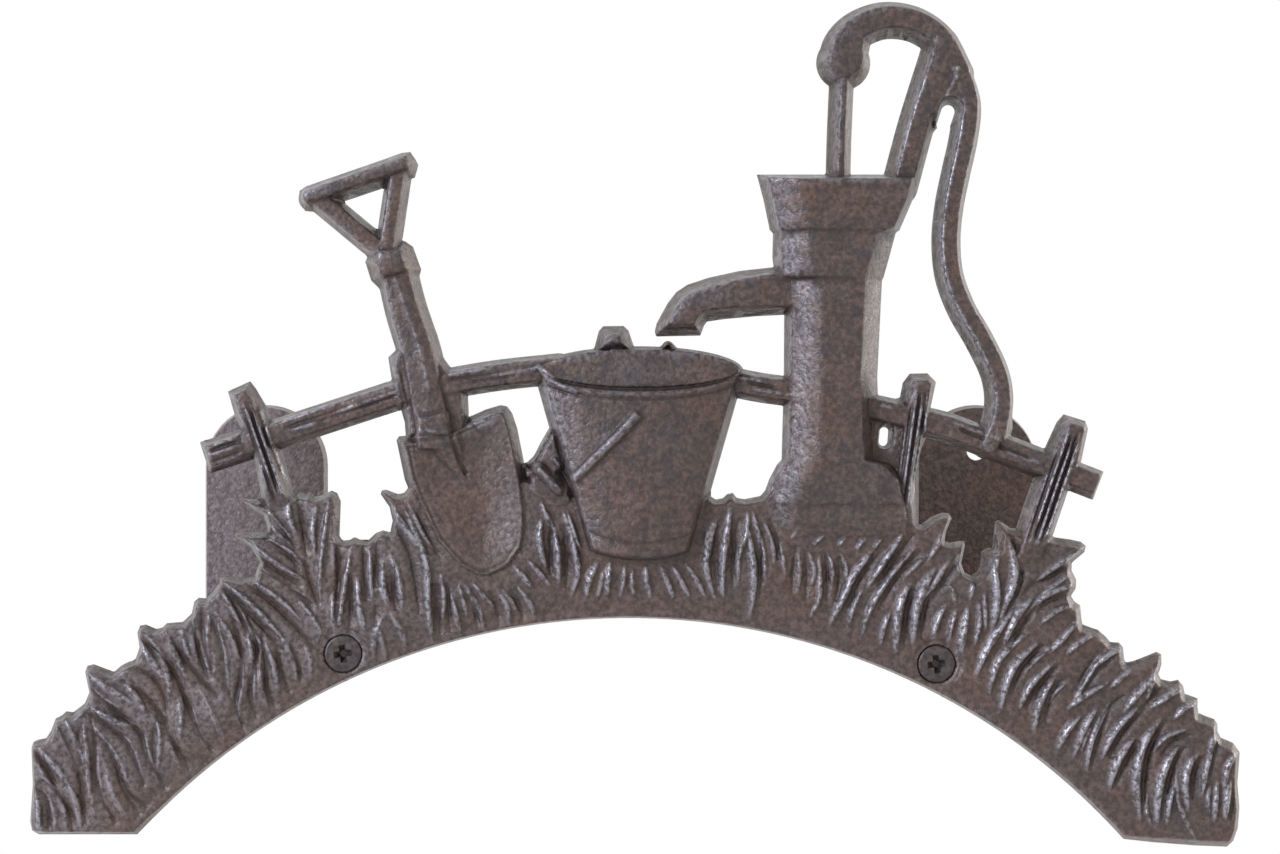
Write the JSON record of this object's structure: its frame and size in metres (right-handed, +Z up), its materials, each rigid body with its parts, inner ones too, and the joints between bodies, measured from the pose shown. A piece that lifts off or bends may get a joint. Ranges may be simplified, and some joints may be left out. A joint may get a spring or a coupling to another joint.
{
  "type": "hose hanger",
  "caption": "Wall hanger for a coiled hose: a cast relief plate of pump, bucket, shovel, fence and grass in front of an arched saddle with two wall ears.",
  "frame": {"origin": "on the wall plane, midway between the two wall holes", "axes": "+X to the right as seen from the front, +Y into the wall, +Z up"},
  "size_m": [0.3806, 0.1426, 0.2659],
  "materials": {
    "cast_plate": "sand-cast iron, antique brown with rubbed ridges",
    "cast_saddle": "sand-cast iron, antique brown",
    "black_screws": "blackened steel",
    "steel_nuts": "plain zinc plated steel"
  },
  "bodies": {
    "root": {"front_plate": "cast_plate", "saddle_bracket": "cast_saddle", "plate_screws": "black_screws", "screw_nuts": "steel_nuts"}
  },
  "joints": []
}
